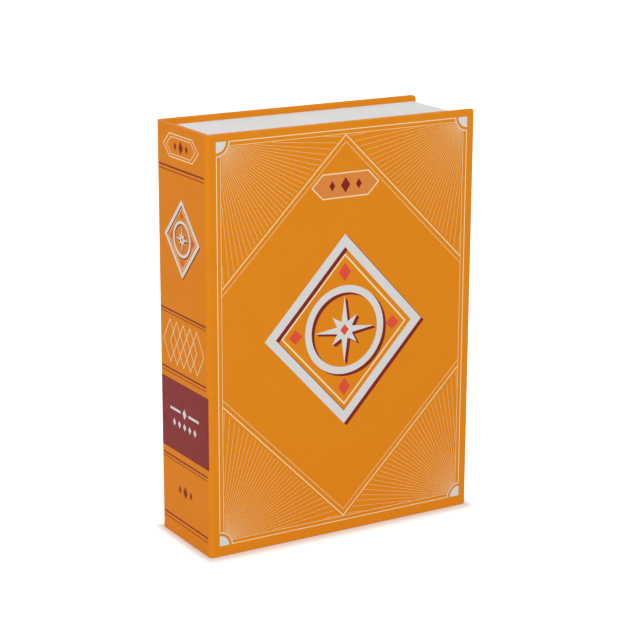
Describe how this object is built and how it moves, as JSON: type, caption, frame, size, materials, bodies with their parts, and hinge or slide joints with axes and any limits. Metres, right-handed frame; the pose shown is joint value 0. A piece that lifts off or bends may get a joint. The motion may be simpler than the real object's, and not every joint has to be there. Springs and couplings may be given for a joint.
{
  "type": "book box",
  "caption": "Storage box shaped like a hardback book: wrapped board covers and a flat spine round a white tray; its front cover swings open on a paper joint and closes with magnets.",
  "frame": {"origin": "middle of the footprint, on the surface that the box stands on", "axes": "+X from the spine to the fore edge, +Y from the front cover to the back cover, +Z from the tail to the head"},
  "size_m": [0.18, 0.062, 0.25],
  "materials": {
    "printed_paper": "matt laminated printed paper, orange",
    "grey_board": "raw grey bookbinding board",
    "page_paper": "matt white paper",
    "lining_paper": "uncoated off-white paper",
    "gummed_tape": "brown gummed kraft tape",
    "magnet_steel": "nickel-plated disc"
  },
  "bodies": {
    "box": {"front_joint": "printed_paper", "front_joint_lining": "lining_paper", "spine_board": "grey_board", "spine_wrap": "printed_paper", "spine_lining": "lining_paper", "back_joint": "printed_paper", "back_joint_lining": "lining_paper", "back_board": "grey_board", "back_wrap": "printed_paper", "back_lining": "lining_paper", "tray_floor": "grey_board", "head_wall": "grey_board", "tail_wall": "grey_board", "fore_wall": "grey_board", "spine_wall": "grey_board", "corner_stays": "gummed_tape", "keeper_discs": "magnet_steel", "page_wrap": "page_paper", "wall_lining": "lining_paper", "floor_lining": "lining_paper"},
    "front_cover": {"front_board": "grey_board", "front_wrap": "printed_paper", "front_lining": "lining_paper", "front_magnets": "magnet_steel"}
  },
  "joints": [
    {"name": "cover_hinge", "type": "hinge", "parent": "box", "child": "front_cover", "pos_m": [-0.08915, -0.03015, 0.125], "axis": [0, 0, -1], "range_deg": [0, 199]}
  ]
}
